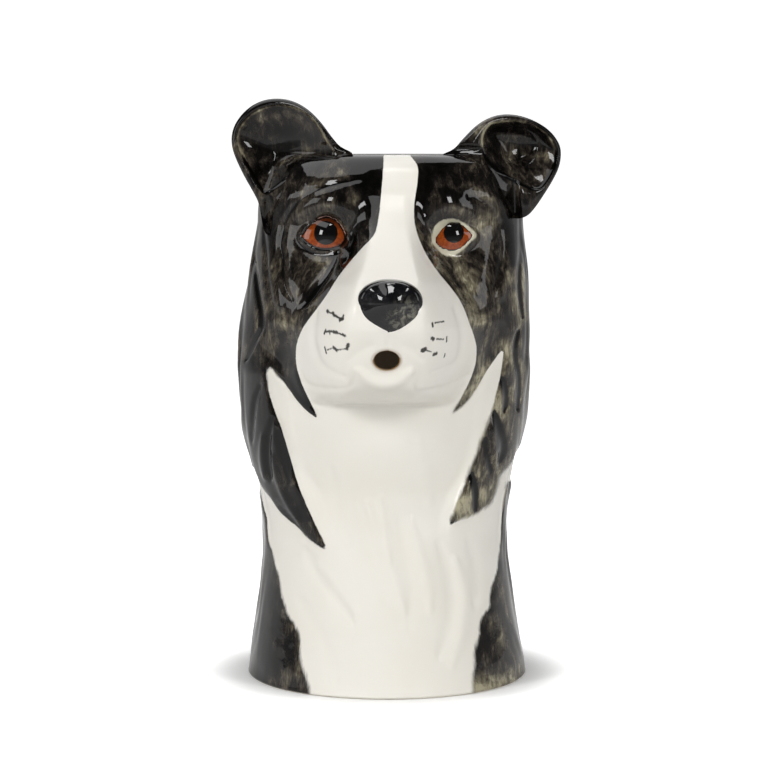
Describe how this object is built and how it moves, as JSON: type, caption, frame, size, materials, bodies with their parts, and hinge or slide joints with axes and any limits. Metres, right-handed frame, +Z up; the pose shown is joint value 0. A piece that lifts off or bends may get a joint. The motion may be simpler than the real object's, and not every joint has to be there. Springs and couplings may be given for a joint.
{
  "type": "figural pitcher",
  "caption": "Hollow dog's-head pitcher with a fill mouth between upright ears, a pouring hole in the muzzle, a foot ring and a loop handle behind.",
  "frame": {"origin": "middle of the foot, on the plane that the foot ring stands on", "axes": "+Z up; the muzzle faces -Y and the handle is towards +Y; +X is to the right of someone who looks at the face"},
  "size_m": [0.1218, 0.1776, 0.2098],
  "materials": {
    "body_glaze": "clear gloss glaze over a cream body with painted black-brown coat markings",
    "ear_glaze": "clear gloss glaze over mottled black-brown brushwork",
    "handle_glaze": "clear gloss glaze over mottled black-brown brushwork",
    "nose_glaze": "clear gloss glaze over solid black",
    "eye_glaze": "clear gloss glaze over an orange-brown iris and a black pupil"
  },
  "bodies": {
    "root": {"vessel": "body_glaze", "left_ear": "ear_glaze", "right_ear": "ear_glaze", "handle": "handle_glaze", "nose": "nose_glaze", "left_eye": "eye_glaze", "right_eye": "eye_glaze"}
  },
  "joints": []
}
